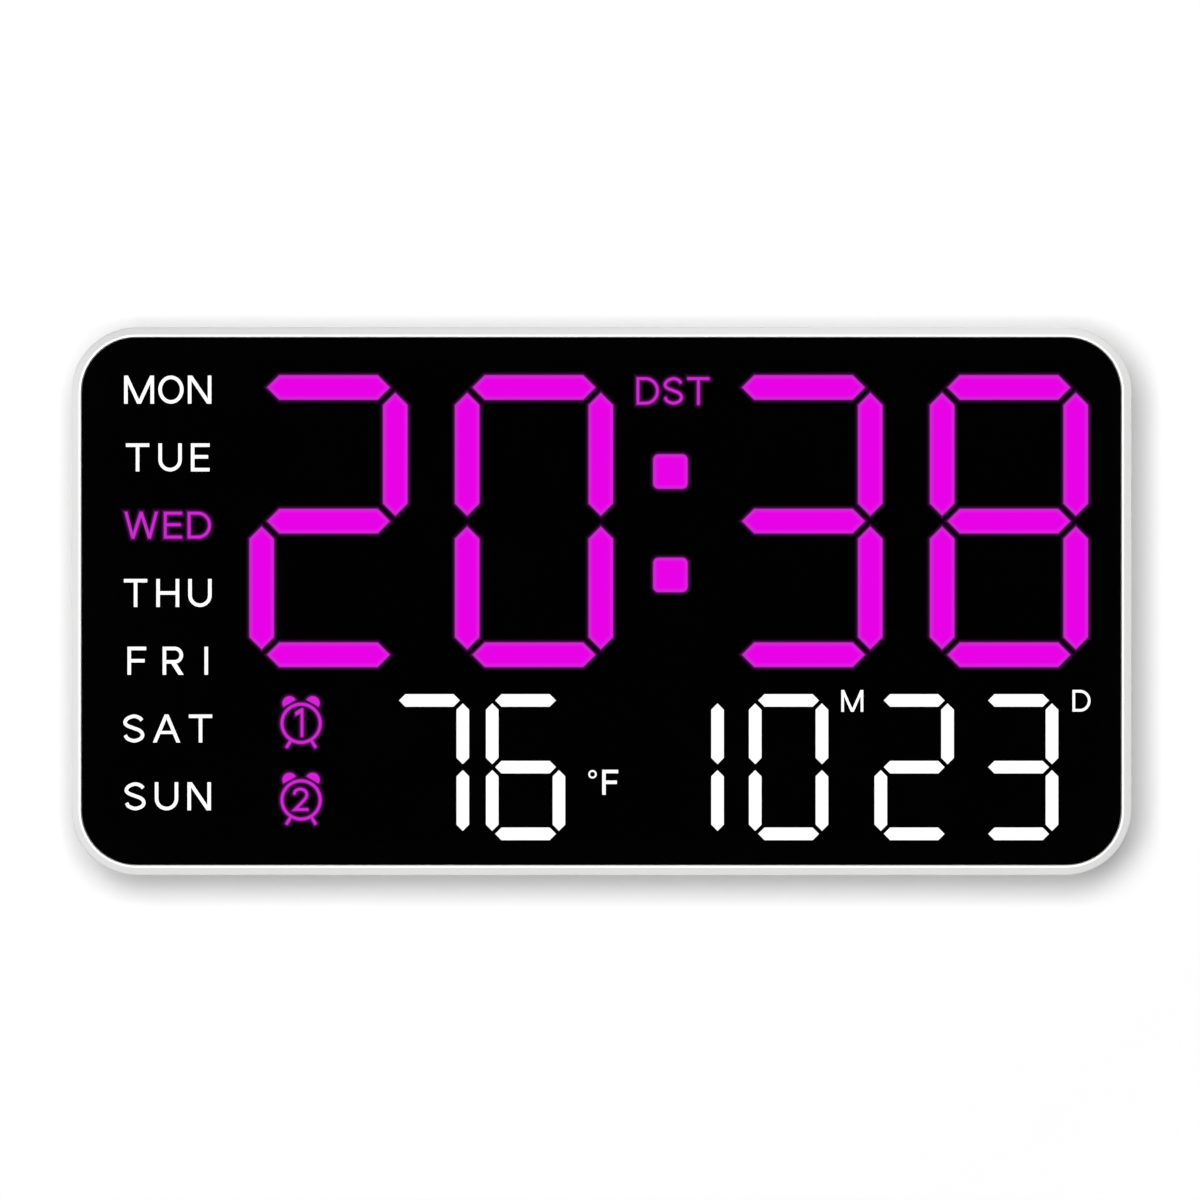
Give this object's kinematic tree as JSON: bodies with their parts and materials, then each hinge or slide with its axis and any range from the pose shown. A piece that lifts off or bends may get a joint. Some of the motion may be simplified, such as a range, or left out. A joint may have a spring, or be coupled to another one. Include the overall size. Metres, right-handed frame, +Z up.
{
  "type": "digital wall clock",
  "caption": "Wide flat wall clock with a smoked front panel, lit bar digits for time, temperature and date, a weekday column, rear push buttons, hanging keyholes and a fold-out leg.",
  "frame": {"origin": "midway between the two hanging keyholes, in the plane of the back that lies on the wall", "axes": "+X to the right as seen from the front, +Y into the wall, so the face looks along -Y, +Z up"},
  "size_m": [0.25, 0.0242, 0.1292],
  "materials": {
    "white_case": "fine textured white moulding",
    "smoked_lens": "polished smoked panel",
    "black_film": "matt black printed film",
    "foam_tape": "black foam tape",
    "reflector_white": "plain white moulding",
    "magenta_light": "lit diffuser",
    "white_light": "lit diffuser",
    "dark_diffuser": "unlit smoked diffuser",
    "board_green": "solder mask",
    "lamp_cream": "phosphor and white resin",
    "chip_black": "moulded chip body",
    "can_metal": "drawn can",
    "steel": "plated steel",
    "black_plastic": "moulded black plastic",
    "bead_brown": "dipped bead",
    "cell_steel": "nickel plated steel",
    "button_grey": "smooth grey moulding"
  },
  "bodies": {
    "case": {"front_frame": "white_case", "front_lens": "smoked_lens", "lens_tape": "foam_tape", "display_mask": "black_film", "segment_reflector": "reflector_white", "time_segments_lit": "magenta_light", "time_segments_dark": "dark_diffuser", "colon_dots": "magenta_light", "temperature_segments_lit": "white_light", "temperature_segments_dark": "dark_diffuser", "date_segments_lit": "white_light", "date_segments_dark": "dark_diffuser", "legend_windows_white": "white_light", "legend_windows_colour": "magenta_light", "display_board": "board_green", "segment_leds": "lamp_cream", "board_screws": "steel", "clock_chip": "chip_black", "driver_chips": "chip_black", "timing_crystal": "can_metal", "capacitors": "can_metal", "buzzer": "black_plastic", "temperature_probe": "bead_brown", "power_jack": "black_plastic", "cell_holder": "black_plastic", "coin_cell": "cell_steel", "button_switches": "black_plastic", "rear_cover": "white_case", "case_screws": "steel", "stand_pin": "steel"},
    "set_button": {"set_button": "button_grey"},
    "up_button": {"up_button": "button_grey"},
    "down_button": {"down_button": "button_grey"},
    "alarm_button": {"alarm_button": "button_grey"},
    "mode_button": {"mode_button": "button_grey"},
    "stand_leg": {"stand_leg": "white_case"},
    "battery_door": {"battery_door": "white_case", "door_screw": "steel"}
  },
  "joints": [
    {"name": "set_press", "type": "slide", "parent": "case", "child": "set_button", "axis": [0, -1, 0], "range_m": [0, 0.0004], "stiffness_N_per_m": 1200},
    {"name": "up_press", "type": "slide", "parent": "case", "child": "up_button", "axis": [0, -1, 0], "range_m": [0, 0.0004], "stiffness_N_per_m": 1200},
    {"name": "down_press", "type": "slide", "parent": "case", "child": "down_button", "axis": [0, -1, 0], "range_m": [0, 0.0004], "stiffness_N_per_m": 1200},
    {"name": "alarm_press", "type": "slide", "parent": "case", "child": "alarm_button", "axis": [0, -1, 0], "range_m": [0, 0.0004], "stiffness_N_per_m": 1200},
    {"name": "mode_press", "type": "slide", "parent": "case", "child": "mode_button", "axis": [0, -1, 0], "range_m": [0, 0.0004], "stiffness_N_per_m": 1200},
    {"name": "stand_fold", "type": "hinge", "parent": "case", "child": "stand_leg", "pos_m": [0, -0.0023, -0.01817], "axis": [1, 0, 0], "range_deg": [0, 35]},
    {"name": "battery_door_swing", "type": "hinge", "parent": "case", "child": "battery_door", "pos_m": [-0.08001, -0.0012, -0.04128], "axis": [1, 0, 0], "range_deg": [0, 90]}
  ]
}
